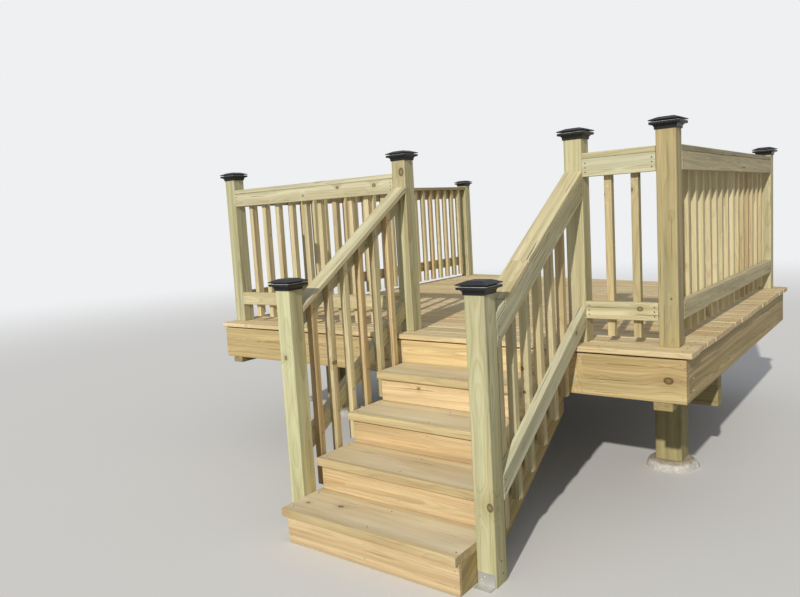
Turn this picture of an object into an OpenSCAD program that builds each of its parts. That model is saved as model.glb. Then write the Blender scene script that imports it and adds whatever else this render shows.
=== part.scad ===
// Timber deck with a straight flight of stairs and capped railing posts.
// Frame: X runs along the deck's front edge, +Y towards the wall side, +Z up.
// The origin is under the middle of the whole, on the ground.

/* [Deck] */
// Width of the deck frame, over the outer faces of its two side rims
frame_w = 3048; // [2800:1:3600]
// Depth of the deck along its right edge, up to its wall side
right_depth = 2465; // [2200:1:3000]
// Depth of the deck along its left edge, which is longer where the wall isn't square to it
left_depth = 3334; // [2700:1:3500]
// Height of the walking surface above the ground
deck_h = 806; // [780:1:840]
// Width of a deck board
deck_board_w = 140; // [120:1:150]
// Thickness of a deck board
deck_board_t = 27; // [25:1:32]
// Gap between two deck boards
deck_board_gap = 5; // [3:1:8]
// How far the boards pass the outer face of the right side rim
right_overhang = 28; // [10:1:40]
// How far the boards pass the outer face of the left side rim
left_overhang = 4; // [0:1:40]
// How far the boards pass the face of the front rim
front_overhang = 20; // [10:1:60]
// Most that the sawn end of a board falls short of the longest board's end
board_end_wander = 6; // [0:1:10]

/* [Deck frame] */
// Height of the rims, joists and wall ledger
joist_h = 208; // [180:1:235]
// Thickness of framing boards: rims, joists, stringers and treads
framing_t = 38; // [35:1:45]
// Bays between the joists
joist_bays = 8; // [6:1:9]
// Height of the drop beams under the joists
beam_h = 203; // [180:1:235]
// Number of boards side by side in a drop beam
beam_plies = 2; // [1:1:3]
// Distance of the front beam's middle behind the front edge of the deck
beam_back = 813; // [700:1:900]
// Distance of the front beam's ends inside the outer faces of the side rims
beam_end_in = 45; // [30:1:90]
// Distance of the back beam's middle in front of the deck's back right corner
back_beam_in = 300; // [250:1:500]
// Distance of the back beam's ends inside the outer faces of the side rims
back_beam_end_in = 400; // [300:1:500]
// Side of the square posts under the beams
support_w = 140; // [120:1:160]
// Distance of the front beam's outer posts' middles from the deck's side edges
support_in = 320; // [250:1:420]
// Distance of the back beam's outer posts' middles from the deck's side edges
back_support_in = 690; // [550:1:800]
// Diameter of a concrete footing
footing_d = 290; // [240:1:340]
// Height of a footing above the ground
footing_h = 48; // [30:1:70]
// Distance of the cleats under the rim from the outer face of a side rim
cleat_in = 60; // [45:1:120]

/* [Stairs] */
// Clear width of the flight, between the railing posts
stair_w = 938; // [850:1:1050]
// Distance from the flight to the outer face of the right side rim
right_bay = 569; // [520:1:650]
// Rise of each step above the first
rise = 159; // [150:1:170]
// Going of each step
going = 254; // [240:1:270]
// Depth of a tread, front to back
tread_d = 286; // [278:1:300]
// How far a tread's front edge passes the riser below it
nosing = 24; // [12:1:32]
// Thickness of a riser board
riser_t = 19; // [15:1:25]
// Distance of a riser's left end from the treads' ends
riser_in = 12; // [0:1:20]
// Depth of the stringer boards, square to the slope
stringer_d = 235; // [220:1:286]

/* [Posts] */
// Side of a square railing post
post_w = 89; // [80:1:100]
// Distance of the deck's front posts behind the front edge
post_back = 110; // [60:1:150]
// Distance of the right corner post from the deck's right edge
right_post_in = 81; // [40:1:110]
// Distance of the left corner post from the deck's left edge
left_post_in = 19; // [15:1:110]
// Distance of a back post's nearest corner from the wall side
back_post_gap = 60; // [20:1:120]
// Distance of the bottom posts' front faces behind the first nosing
stair_post_back = 154; // [120:1:200]
// Height of the deck's front posts up to their caps
deck_post_h = 972; // [940:1:1000]
// Height of the deck's back posts up to their caps, which are cut lower
back_post_h = 915; // [910:1:1000]
// Height of the stairs' bottom posts up to their caps
stair_post_h = 1158; // [1120:1:1200]

/* [Railings] */
// Height of the underside of the flat cap board above the deck
rail_h = 876; // [820:1:880]
// Width of a rail board, set on edge
rail_w = 84; // [80:1:95]
// Thickness of a rail board
rail_t = 38; // [32:1:40]
// Thickness of the flat cap boards
cap_board_t = 28; // [25:1:30]
// Height of the bottom rails' lower edges above the deck
bottom_rail_h = 117; // [90:1:150]
// Side of a square baluster
baluster_w = 36; // [32:1:40]
// Height of the balusters' lower ends above the deck
baluster_lift = 30; // [15:1:60]
// Balusters in the left front railing
front_left_balusters = 10; // [9:1:11]
// Balusters in the right front railing
front_right_balusters = 2; // [2:1:3]
// Balusters in the right side railing
right_side_balusters = 15; // [14:1:17]
// Balusters in the left side railing
left_side_balusters = 23; // [20:1:25]
// Most balusters in each raked stair railing
stair_balusters = 6; // [5:1:6]
// Spacing of the stair balusters, middle to middle
stair_baluster_pitch = 128; // [125:1:130]
// Middle of the first stair baluster behind the bottom post
stair_baluster_start = 87; // [70:1:100]
// Least gap between the last stair baluster and the front rim
stair_baluster_gap = 10; // [5:1:40]
// Height of the raked cap above the deck where it meets the top post
raked_rail_h = 823; // [790:1:860]
// Height of the raked bottom rail's middle above the line of the nosings
raked_bottom_h = 56; // [45:1:80]
// How far the stair balusters reach below the line of the nosings
raked_baluster_drop = 234; // [200:1:250]

/* [Post caps] */
// Width of a cap's collar, which fits over the post
collar_w = 97; // [94:1:104]
// Width of a cap's lip
cap_lip_w = 133; // [127:1:150]
// Width of the roof plate above the lip
cap_roof_w = 137; // [125:1:155]
// Width of the core that carries the roof plate above the lip
cap_core_w = 99; // [92:1:110]
// Width of the roof's flat top
cap_top_w = 70; // [40:1:90]
// Depth of the pocket that the post fills
cap_pocket = 28; // [20:1:30]
// Clearance between the pocket and each face of the post
cap_fit = 0.5; // [0.3:0.1:0.8]
// Height of the plain collar, from the cap's lower edge to its cove
collar_h = 7; // [4:1:9]
// Height of the cove under the lip
cove_h = 14; // [11:1:15]
// Thickness of the lip
lip_t = 12; // [9:1:14]
// Height of the open slot between the lip and the roof plate
slot_h = 5; // [3:1:7]
// Thickness of the roof plate at its edge
roof_edge_t = 4; // [3:1:6]
// Rise of the roof from its edge to its flat top
roof_rise = 12; // [8:1:20]

/* [Small parts] */
// Thickness of the steel foot bracket
bracket_t = 3; // [2:0.5:5]
// Height of the bracket's upright leg
bracket_h = 55; // [50:1:90]
// Reach of the bracket's foot in front of the post
bracket_reach = 42; // [30:1:60]
// Distance of the bracket's edges inside the post's sides
bracket_in = 6; // [2:1:15]
// Distance of the right stair cap's lower joint from the bottom post
stair_cap_joint_1 = 75; // [50:1:150]
// Distance of the right stair cap's upper joint from the bottom post
stair_cap_joint_2 = 290; // [200:1:500]
// Baluster that the joint in a side railing's top rail lies on, from the front
top_joint_baluster = 9; // [4:1:12]
// Baluster that the joint in a side railing's bottom rail lies on, from the front
bottom_joint_baluster = 10; // [4:1:12]
// Width of a butt joint where two lengths of rail or cap meet
joint_gap = 1.5; // [1.2:0.1:3]

/* [Hidden] */

// Number of rises; the deck itself is the last step, and its front rim the last riser
rises = 5;
// Rounding of a sawn board's long edges
board_ease = 3;
// Rounding of a post's long edges
post_ease = 5;
// Rounding of a baluster's long edges
baluster_ease = 2;
// How far a cutting shape passes the faces that it opens
cut_over = 1;

// Heights
joist_top = deck_h - deck_board_t;
joist_low = joist_top - joist_h;
beam_low = joist_low - beam_h;
step_h = [for (k = [1:rises]) deck_h - (rises - k) * rise];
cap_board_low = deck_h + rail_h;
top_rail_low = cap_board_low - rail_w;
stair_post_top = stair_post_h + cap_pocket;

// Places across the deck
deck_w = frame_w + left_overhang + right_overhang;
rim_r = deck_w / 2 - right_overhang;
rim_l = -deck_w / 2 + left_overhang;
stair_r = rim_r - right_bay;
stair_l = stair_r - stair_w;
stair_mid = (stair_l + stair_r) / 2;
corner_r = deck_w / 2 - right_post_in - post_w;
corner_l = -deck_w / 2 + left_post_in;

// Places along the depth; nose is the deck's front edge
stair_run = (rises - 1) * going;
nose = (stair_run - left_depth) / 2;
rim_y = nose + front_overhang;
front_post_y = nose + post_back;
bottom_post_y = nose - stair_run + stair_post_back;
joist_y = rim_y + framing_t;
beam_y = nose + beam_back;
back_beam_y = nose + right_depth - back_beam_in;
beam_d = beam_plies * framing_t;
// Middles of the posts under the beams
supports = [
    for (x = [-1, 0, 1]) [x * (deck_w / 2 - support_in), beam_y],
    for (x = [-1, 0, 1]) [x * (deck_w / 2 - back_support_in), back_beam_y]
];

// Wall side of the deck at a place across it, the ledger's depth along Y, and
// the Y of a back post whose lower X is given
skew = atan2(left_depth - right_depth, deck_w);
ledger_d = framing_t / cos(skew);
function wall_at(x) = nose + right_depth + (deck_w / 2 - x) * tan(skew);
function back_post_y(x) = wall_at(x + post_w) - back_post_gap - post_w;

// Slope of the flight
pitch = atan2(rise, going);
plumb = 1 / cos(pitch);

// Height of the line through the nosings at a place along the depth
function nosing_line(y) = deck_h + (y - nose) * rise / going;

// Height of the raked cap's top, and of the raked rails' edges
function raked_cap_top(y) = nosing_line(y) - nosing_line(front_post_y) + deck_h + raked_rail_h;
function raked_cap_low(y) = raked_cap_top(y) - cap_board_t * plumb;
function raked_top_low(y) = raked_cap_low(y) - rail_w * plumb;
function raked_bottom_top(y) = nosing_line(y) + raked_bottom_h + rail_w * plumb / 2;
function raked_bottom_low(y) = raked_bottom_top(y) - rail_w * plumb;

// How far the sawn end of deck board i stays inside the longest board's end
function end_wander(i, side) = i == 0 ? 0 : board_end_wander * abs(sin(137 * i + 71 * side));

// Middles of n balusters with equal gaps between two posts
function even_middles(a, b, n) =
    let (gap = (b - a - n * baluster_w) / (n + 1))
    [for (i = [0:n - 1]) a + gap + baluster_w / 2 + i * (gap + baluster_w)];

// Outline of a sawn board or post with rounded long edges
module section(w, h, r) {
    polygon([
        for (i = [0:3])
            for (a = [0:45:90])
                [(i == 0 || i == 3 ? w - r : r) + r * cos(90 * i + a),
                 (i < 2 ? h - r : r) + r * sin(90 * i + a)]
    ]);
}

// Board along X: its depth lies along Y and its height along Z
module board_x(from, to, y, z, d, h, r = board_ease) {
    translate([from, y, z])
        rotate([90, 0, 90])
            linear_extrude(to - from)
                section(d, h, r);
}

// Board along Y: its width lies along X and its height along Z
module board_y(from, to, x, z, w, h, r = board_ease) {
    translate([x, to, z])
        rotate([90, 0, 0])
            linear_extrude(to - from)
                section(w, h, r);
}

// Square upright, such as a post or baluster
module upright(x, y, from, to, w, r) {
    translate([x, y, from])
        linear_extrude(to - from)
            section(w, w, r);
}

// Flat shape drawn on the side of the flight, (Y, Z), with its thickness along X
module side_plate(x, t) {
    translate([x, 0, 0])
        rotate([90, 0, 90])
            linear_extrude(t)
                children();
}

// Keeps what lies in front of the wall line, moved forward by a distance along Y
module cut_to_wall(back = 0) {
    far = deck_w;
    intersection() {
        children();
        linear_extrude(2 * deck_h)
            polygon([[-far, nose - far], [far, nose - far],
                     [far, wall_at(far) - back], [-far, wall_at(-far) - back]]);
    }
}

// The deck's boards, front to back, with their sawn ends slightly uneven; the
// last ones are sawn along the wall
module decking_boards() {
    pitch_y = deck_board_w + deck_board_gap;
    count = ceil((left_depth - deck_board_w / 2) / pitch_y);
    color("BurlyWood")
        cut_to_wall(deck_board_gap)
            for (i = [0:count - 1])
                board_x(-deck_w / 2 + end_wander(i, 1), deck_w / 2 - end_wander(i, 2),
                        nose + i * pitch_y, joist_top, deck_board_w, deck_board_t);
}

module front_rim() {
    color("Goldenrod")
        board_x(rim_l, rim_r, rim_y, joist_low, framing_t, joist_h);
}

// Board along Y between the front rim and the ledger, x being its lower X
module framing_board(x) {
    cut_to_wall(ledger_d)
        board_y(joist_y, wall_at(x), x, joist_low, framing_t, joist_h);
}

module side_rim(x) {
    color("Goldenrod")
        framing_board(x);
}

// Board along the wall side, over the ends of the side rims and joists
module wall_ledger() {
    color("DarkKhaki")
        translate([0, 0, joist_low])
            linear_extrude(joist_h)
                polygon([[rim_l, wall_at(rim_l)], [rim_l, wall_at(rim_l) - ledger_d],
                         [rim_r, wall_at(rim_r) - ledger_d], [rim_r, wall_at(rim_r)]]);
}

module joists() {
    bay = (frame_w - framing_t) / joist_bays;
    color("DarkKhaki")
        for (i = [1:joist_bays - 1])
            framing_board(rim_l + i * bay);
}

// Beam of boards nailed side by side, y being its middle
module drop_beam(y, end_in) {
    for (i = [0:beam_plies - 1])
        board_x(rim_l + end_in, rim_r - end_in, y - beam_d / 2 + i * framing_t, beam_low,
                framing_t, beam_h);
}

module drop_beams() {
    color("DarkKhaki") {
        drop_beam(beam_y, beam_end_in);
        drop_beam(back_beam_y, back_beam_end_in);
    }
}

module beam_posts() {
    color("DarkKhaki")
        for (p = supports)
            upright(p[0] - support_w / 2, p[1] - support_w / 2, footing_h, beam_low,
                    support_w, post_ease);
}

module footings() {
    color("LightGray")
        for (p = supports)
            translate([p[0], p[1], 0])
                cylinder(h = footing_h, d = footing_d, $fn = 64);
}

// Flat cleats below the joists, from the front rim to the front beam
module rim_cleats() {
    color("DarkKhaki")
        for (x = [rim_l + cleat_in, rim_r - cleat_in - rail_w])
            board_y(rim_y, beam_y - beam_d / 2, x, joist_low - framing_t, rail_w, framing_t);
}

// Front edge of tread k, and the back of the riser below it
function tread_front(k) = nose - (rises - k) * going;
function riser_back(k) = tread_front(k) + nosing + riser_t;

// Outline of a cut stringer: a seat and a plumb cut for each step, a level foot
// on the ground, and a plumb end against the front rim
module stringer_outline() {
    seat = [for (h = step_h) h - framing_t];
    cut = [for (k = [1:rises]) k == rises ? rim_y : riser_back(k)];
    low_edge = function (y) seat[0] + (y - cut[0]) * rise / going - stringer_d * plumb;
    foot = cut[0] + (stringer_d * plumb - seat[0]) * going / rise;
    polygon(concat(
        [[cut[0], 0]],
        [for (k = [0:rises - 2]) each [[cut[k], seat[k]], [cut[k + 1], seat[k]]]],
        [[rim_y, low_edge(rim_y)], [foot, 0]]
    ));
}

module stringer(x) {
    color("DarkKhaki")
        side_plate(x, framing_t)
            stringer_outline();
}

// Tread k; the top one ends at the front rim
module tread(k) {
    depth = min(tread_d, rim_y - tread_front(k));
    color("Tan")
        board_x(stair_l, stair_r, tread_front(k), step_h[k - 1] - framing_t, depth, framing_t);
}

// Riser k stands on the tread below it, the first on the ground
module riser(k) {
    low = k == 1 ? 0 : step_h[k - 2];
    color("SandyBrown")
        translate([stair_l + riser_in, riser_back(k) - riser_t, low])
            cube([stair_w - riser_in, riser_t, step_h[k - 1] - framing_t - low]);
}

module front_post(x) {
    color("Khaki")
        upright(x, front_post_y, deck_h, deck_h + deck_post_h + cap_pocket, post_w, post_ease);
}

module back_post(x) {
    color("Khaki")
        upright(x, back_post_y(x), deck_h, deck_h + back_post_h + cap_pocket, post_w, post_ease);
}

module bottom_post(x) {
    color("Khaki")
        upright(x, bottom_post_y, 0, stair_post_top, post_w, post_ease);
}

// Half of a post cap's upright section: collar, cove, lip, slot, roof plate and flat top
module cap_half_section() {
    collar = collar_w / 2;
    lip = cap_lip_w / 2;
    core = cap_core_w / 2;
    roof = cap_roof_w / 2;
    lip_low = collar_h + cove_h;
    lip_high = lip_low + lip_t;
    slot_high = lip_high + slot_h;
    edge_high = slot_high + roof_edge_t;
    difference() {
        polygon([
            [0, 0], [collar, 0], [collar, collar_h], [collar + cove_h, lip_low], [lip, lip_low],
            [lip, lip_high], [core, lip_high], [core, slot_high], [roof, slot_high],
            [roof, edge_high], [cap_top_w / 2, edge_high + roof_rise], [0, edge_high + roof_rise]
        ]);
        translate([collar + cove_h, collar_h])
            circle(r = cove_h, $fn = 48);
    }
}

module cap_bar() {
    rotate([90, 0, 0])
        linear_extrude(2 * cap_roof_w, center = true)
            union() {
                cap_half_section();
                mirror([1, 0])
                    cap_half_section();
            }
}

// Square moulded cap over a post; x and y are its middle, z its lower edge
module post_cap(x, y, z) {
    pocket_w = post_w + 2 * cap_fit;
    translate([x, y, z])
        difference() {
            intersection() {
                cap_bar();
                rotate([0, 0, 90])
                    cap_bar();
            }
            translate([-pocket_w / 2, -pocket_w / 2, -cut_over])
                cube([pocket_w, pocket_w, cap_pocket + cut_over]);
        }
}

module post_caps() {
    half = post_w / 2;
    color([0.12, 0.1, 0.1]) {
        for (x = [corner_l, stair_l - post_w, stair_r, corner_r])
            post_cap(x + half, front_post_y + half, deck_h + deck_post_h);
        for (x = [corner_l, corner_r])
            post_cap(x + half, back_post_y(x) + half, deck_h + back_post_h);
        for (x = [stair_l - post_w, stair_r])
            post_cap(x + half, bottom_post_y + half, stair_post_h);
    }
}

// Steel angle at the foot of the right bottom post
module post_foot_bracket() {
    color("Silver")
        translate([stair_r + bracket_in, bottom_post_y - bracket_reach, 0])
            difference() {
                cube([post_w - 2 * bracket_in, bracket_reach, bracket_h]);
                translate([-cut_over, -cut_over, bracket_t])
                    cube([post_w, bracket_reach - bracket_t + cut_over, bracket_h]);
            }
}

// Top and bottom rail along X between two posts, at the posts' front faces
module front_rails(from, to) {
    color("PaleGoldenrod")
        for (z = [top_rail_low, deck_h + bottom_rail_h])
            board_x(from, to, front_post_y, z, rail_t, rail_w);
}

// A side rail made of two lengths that butt at a joint, up to a back post
module side_rail(x, z, joint, to) {
    board_y(front_post_y + post_w, joint - joint_gap / 2, x, z, rail_t, rail_w);
    board_y(joint + joint_gap / 2, to, x, z, rail_t, rail_w);
}

// Top and bottom rail of a side railing with n balusters: x is the rails' lower
// X, post_x that of the posts; each rail's joint lies on a baluster
module side_rails(x, post_x, n) {
    to = back_post_y(post_x);
    middles = even_middles(front_post_y + post_w, to, n);
    color("PaleGoldenrod") {
        side_rail(x, top_rail_low, middles[top_joint_baluster - 1], to);
        side_rail(x, deck_h + bottom_rail_h, middles[bottom_joint_baluster - 1], to);
    }
}

module front_balusters(from, to, n) {
    color("Wheat")
        for (m = even_middles(from, to, n))
            upright(m - baluster_w / 2, front_post_y + rail_t, deck_h + baluster_lift,
                    cap_board_low, baluster_w, baluster_ease);
}

module side_balusters(x, post_x, n) {
    color("Wheat")
        for (m = even_middles(front_post_y + post_w, back_post_y(post_x), n))
            upright(x, m - baluster_w / 2, deck_h + baluster_lift, cap_board_low,
                    baluster_w, baluster_ease);
}

// Flat boards on top of the deck's railings
module deck_rail_caps() {
    color("PaleGoldenrod") {
        board_x(corner_l + post_w, stair_l - post_w, front_post_y, cap_board_low,
                post_w, cap_board_t);
        board_x(stair_r + post_w, corner_r, front_post_y, cap_board_low, post_w, cap_board_t);
        for (x = [corner_l, corner_r])
            board_y(front_post_y + post_w + cap_fit, back_post_y(x), x, cap_board_low,
                    post_w, cap_board_t);
    }
}

// Raked board between two heights that are functions of the place along Y,
// with plumb ends at y0 and y1
module raked_board(x, t, y0, y1, low, high) {
    side_plate(x, t)
        polygon([[y0, low(y0)], [y1, low(y1)], [y1, high(y1)], [y0, high(y0)]]);
}

// Raked top and bottom rail of a stair railing, at the posts' outer faces
module stair_rails(x) {
    y0 = bottom_post_y + post_w;
    color("PaleGoldenrod") {
        raked_board(x, rail_t, y0, front_post_y,
                    function (y) raked_top_low(y), function (y) raked_cap_low(y));
        raked_board(x, rail_t, y0, front_post_y,
                    function (y) raked_bottom_low(y), function (y) raked_bottom_top(y));
    }
}

// Flat raked boards on the stair railings; the right one is pieced out of three
module stair_rail_caps() {
    y0 = bottom_post_y + post_w;
    low = function (y) raked_cap_low(y);
    high = function (y) raked_cap_top(y);
    joints = [y0 + stair_cap_joint_1, y0 + stair_cap_joint_2];
    color("PaleGoldenrod") {
        raked_board(stair_l - post_w, post_w, y0, front_post_y, low, high);
        raked_board(stair_r, post_w, y0, joints[0] - joint_gap, low, high);
        raked_board(stair_r, post_w, joints[0], joints[1] - joint_gap, low, high);
        raked_board(stair_r, post_w, joints[1], front_post_y, low, high);
    }
}

// Middles of the stair balusters: at their spacing from the bottom post, as many
// as clear the front rim
function stair_baluster_middles() =
    let (first = bottom_post_y + post_w + stair_baluster_start)
    let (last = rim_y - stair_baluster_gap - baluster_w / 2)
    [for (i = [0:stair_balusters - 1])
        let (y = first + i * stair_baluster_pitch)
        if (y <= last) y];

// Balusters of a stair railing: square lower ends, tops cut to the rake
module stair_balusters_at(x) {
    color("Wheat")
        for (y = stair_baluster_middles()) {
            y0 = y - baluster_w / 2;
            y1 = y + baluster_w / 2;
            low = nosing_line(y) - raked_baluster_drop;
            side_plate(x, baluster_w)
                polygon([[y0, low], [y1, low], [y1, raked_cap_low(y1)], [y0, raked_cap_low(y0)]]);
        }
}

// Lower X of the rails and balusters on each side
left_rail_x = corner_l;
right_rail_x = corner_r + post_w - rail_t;
left_stair_rail_x = stair_l - post_w;
right_stair_rail_x = stair_r + post_w - rail_t;

decking_boards();
front_rim();
side_rim(rim_l);  // left_rim
side_rim(rim_r - framing_t);  // right_rim
wall_ledger();
joists();
drop_beams();
beam_posts();
footings();
rim_cleats();
stringer(stair_l);  // left_stringer
stringer(stair_mid - framing_t / 2);  // middle_stringer
stringer(stair_r - framing_t);  // right_stringer
tread(1);  // tread_1
tread(2);  // tread_2
tread(3);  // tread_3
tread(4);  // tread_4
riser(1);  // riser_1
riser(2);  // riser_2
riser(3);  // riser_3
riser(4);  // riser_4
bottom_post(stair_l - post_w);  // bottom_post_left
bottom_post(stair_r);  // bottom_post_right
front_post(stair_l - post_w);  // top_post_left
front_post(stair_r);  // top_post_right
front_post(corner_l);  // corner_post_left
front_post(corner_r);  // corner_post_right
back_post(corner_l);  // back_post_left
back_post(corner_r);  // back_post_right
post_caps();
post_foot_bracket();
front_rails(corner_l + post_w, stair_l - post_w);  // front_left_rails
front_rails(stair_r + post_w, corner_r);  // front_right_rails
side_rails(left_rail_x, corner_l, left_side_balusters);  // left_side_rails
side_rails(right_rail_x, corner_r, right_side_balusters);  // right_side_rails
stair_rails(left_stair_rail_x);  // stair_left_rails
stair_rails(right_stair_rail_x);  // stair_right_rails
deck_rail_caps();
stair_rail_caps();
front_balusters(corner_l + post_w, stair_l - post_w, front_left_balusters);
front_balusters(stair_r + post_w, corner_r, front_right_balusters);
side_balusters(left_rail_x + rail_t, corner_l, left_side_balusters);
side_balusters(right_rail_x - baluster_w, corner_r, right_side_balusters);
stair_balusters_at(left_stair_rail_x + rail_t);  // stair_left_balusters
stair_balusters_at(right_stair_rail_x - baluster_w);  // stair_right_balusters
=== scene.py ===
"""Timber deck with stairs: lumber, caps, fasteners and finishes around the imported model."""
import math

import bpy
import numpy as np
from mathutils import Matrix, Vector


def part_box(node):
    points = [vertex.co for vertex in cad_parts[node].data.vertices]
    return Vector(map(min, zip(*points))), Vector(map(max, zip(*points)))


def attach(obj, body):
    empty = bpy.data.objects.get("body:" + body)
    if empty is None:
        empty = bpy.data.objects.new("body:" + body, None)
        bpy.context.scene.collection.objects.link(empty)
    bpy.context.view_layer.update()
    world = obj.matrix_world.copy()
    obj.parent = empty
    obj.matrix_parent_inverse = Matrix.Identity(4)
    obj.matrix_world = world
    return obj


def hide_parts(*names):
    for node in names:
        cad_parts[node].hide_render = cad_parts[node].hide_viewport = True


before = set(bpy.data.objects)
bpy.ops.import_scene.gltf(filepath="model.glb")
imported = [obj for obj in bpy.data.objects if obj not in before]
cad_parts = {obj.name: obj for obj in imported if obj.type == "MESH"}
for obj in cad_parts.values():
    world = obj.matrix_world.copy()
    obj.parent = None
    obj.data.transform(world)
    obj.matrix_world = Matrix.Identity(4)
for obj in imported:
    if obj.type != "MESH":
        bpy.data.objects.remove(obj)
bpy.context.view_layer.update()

rng = np.random.default_rng(11)

X = np.array([1.0, 0.0, 0.0])
Y = np.array([0.0, 1.0, 0.0])
Z = np.array([0.0, 0.0, 1.0])

# Driving sizes of the finish, in metres
BALUSTER_EASE = 0.002
BOARD_EASE = 0.003
CAP_EASE = 0.005
DECKING_EASE = 0.006
POST_EASE = 0.005
STATION = 0.12          # widest spacing of the cross sections along a board
END_CHAMFER = 0.0015
WANE = 0.0008           # most that a board's sides draw in along its length
WANE_WAVE = 2.1         # radians of that drawing in and out to a metre of board
BALUSTER_LEAN = 0.0025  # most that a baluster's lower end stands out of line
WALL_GAP = 0.005        # gap between the decking and the wall line
CAP_JOINT = 0.0015      # how far a raked cap board stops short of its solid's ends
RIM_GAP = 0.008         # gap that shows between the front rim and the decking
BALUSTER_CUT = 0.028    # how far the stair balusters stop short of their solids' lower ends
THICK_STOCK = 0.06      # in stock thicker than this a knot doesn't go right through
KNOT_STRETCH = 1.35     # a knot's length along the grain over its width
GRAIN_TILT = 0.022      # most that the pith runs out of line with a board, per metre
TRUNK = 40.0            # length of the imagined trunk that the boards are cut from
FAR = 1000.0            # a distance, in knot radii, that stands for no knot


def box_of(node):
    """Lowest and highest corner of a node, as arrays."""
    low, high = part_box(node)
    return np.array(low), np.array(high)


def triangles_of(node):
    """A node's corners with the doubles merged, and its triangles as rows of corner numbers."""
    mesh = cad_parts[node].data
    co = np.empty(len(mesh.vertices) * 3)
    mesh.vertices.foreach_get("co", co)
    corner = np.empty(len(mesh.loops), dtype=np.int64)
    mesh.loops.foreach_get("vertex_index", corner)
    shared, same = np.unique(np.round(co.reshape(-1, 3), 4), axis=0, return_inverse=True)
    return shared, same.reshape(-1)[corner].reshape(-1, 3)


def solids(node):
    """Boxes (low, high) of a node's separate solids.

    Triangles that share a corner get the smallest label among them, again and
    again, until each solid has one label.
    """
    co, tri = triangles_of(node)
    label = np.arange(len(co))
    while True:
        new = label.copy()
        np.minimum.at(new, tri.ravel(), np.repeat(label[tri].min(axis=1), 3))
        new = new[new]
        if (new == label).all():
            break
        label = new
    found = [(co[label == k].min(axis=0), co[label == k].max(axis=0)) for k in np.unique(label)]
    return sorted(found, key=lambda b: tuple(np.round(b[0] + b[1], 3)))


# Places that several pieces share, read from the frame
deck_top = box_of("decking_boards")[1][2]
rim_low, rim_high = box_of("front_rim")
ledger_low, ledger_high = box_of("wall_ledger")
left_rim_low, left_rim_high = box_of("left_rim")
right_rim_low, right_rim_high = box_of("right_rim")
wall_slope = (left_rim_high[1] - right_rim_high[1]) / (right_rim_low[0] - left_rim_low[0])
front_face = box_of("corner_post_right")[0][1]
stair_face = box_of("bottom_post_right")[0][1]
side_face = box_of("corner_post_right")[1][0]
stair_side_face = box_of("bottom_post_right")[1][0]
treads = [box_of("tread_%d" % k) for k in range(1, 5)]
risers = [box_of("riser_%d" % k) for k in range(1, 5)]
rise = treads[1][1][2] - treads[0][1][2]
going = treads[1][0][1] - treads[0][0][1]
pitch = math.atan2(rise, going)
slope = rise / going
stair_l, stair_r = treads[0][0][0], treads[0][1][0]
stair_mid = (stair_l + stair_r) / 2

# Knots that the photograph shows, as a point on the board's face and a radius
KNOTS = [
    ((1.436, rim_low[1], 0.673), 0.018),
    ((-0.046, stair_face, 0.839), 0.010),
    ((1.016, stair_face, 0.327), 0.015),
    ((-0.019, front_face, 1.713), 0.020),
    ((1.428, front_face, 1.027), 0.005),
    ((1.289, front_face, 0.977), 0.012),
    ((-0.501, front_face, 1.661), 0.010),
    ((-0.219, front_face, 1.654), 0.012),
    ((-0.791, front_face, 1.632), 0.007),
    ((1.120, front_face + 0.038, 1.510), 0.007),
    ((1.250, front_face + 0.038, 1.524), 0.007),
    ((side_face, -0.167, 0.961), 0.009),
    ((side_face - 0.038, -0.067, 1.140), 0.007),
    ((0.259, risers[3][0][1], 0.575), 0.009),
    ((stair_side_face, -1.172, 0.872), 0.010),
    ((0.988, -1.475, 1.413), 0.007),
    ((-0.010, -1.704, 0.759), 0.007),
    ((0.238, -2.023, treads[0][1][2]), 0.012),
    ((0.073, -2.064, treads[0][1][2]), 0.008),
    ((-0.900, rim_low[1], 0.640), 0.011),
]
KNOTS_PER_BOARD = 3

# Tones of single boards: green tint, lightness and warmth. Boards without one draw each number
# from 0 to 1, and a lightness beyond that makes a board darker or paler than any drawn one.
POST_TONES = {
    "bottom_post_left": (0.75, 1.20, 0.10), "bottom_post_right": (0.70, 0.85, 0.25),
    "top_post_left": (0.45, 0.30, 0.40), "top_post_right": (0.35, 0.30, 0.60),
    "corner_post_left": (0.55, 0.10, 0.35), "corner_post_right": (0.05, -0.60, 1.00),
    "back_post_left": (0.45, 0.45, 0.40), "back_post_right": (0.40, 0.30, 0.60),
}
TONE_SKEW = np.array([1.0, 1.0, 1.7])   # makes warm boards rarer than cool ones
FIRST_BALUSTER_TONE = (0.0, 0.1, 1.0)
RISER_TONES = ((0.1, 0.0, 0.65), (0.2, 0.0, 0.60), (0.1, -0.90, 0.70), (0.0, 1.20, 0.40))
TREAD_TONES = ((0.3, 1.0, 0.3), (0.5, 1.5, 0.2), (0.9, 2.3, 0.1), (0.9, 2.0, 0.1))
SIDE_RAIL_TONE = (0.0, -0.5, 1.0)
FRONT_LOW_RAIL_TONE = (0.0, 0.9, 0.75)
SIDE_CAP_TONE = (0.1, -2.7, 1.0)
# The left stair cap, and the right one's lengths from the lowest up
STAIR_CAP_TONES = ((0.3, 0.8, 0.6), (0.6, 1.3, 0.3), (0.2, 0.8, 1.0), (0.1, 1.0, 0.8))
RIGHT_RAKED_RAIL_TONE = (0.3, -0.6, 0.5)
RIGHT_RIM_TONE = (0.1, -0.5, 0.5)
FRONT_RIM_TONE = (0.3, 0.5, 0.2)
TOP_RISER_TONE = (0.0, 2.3, 0.7)


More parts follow.
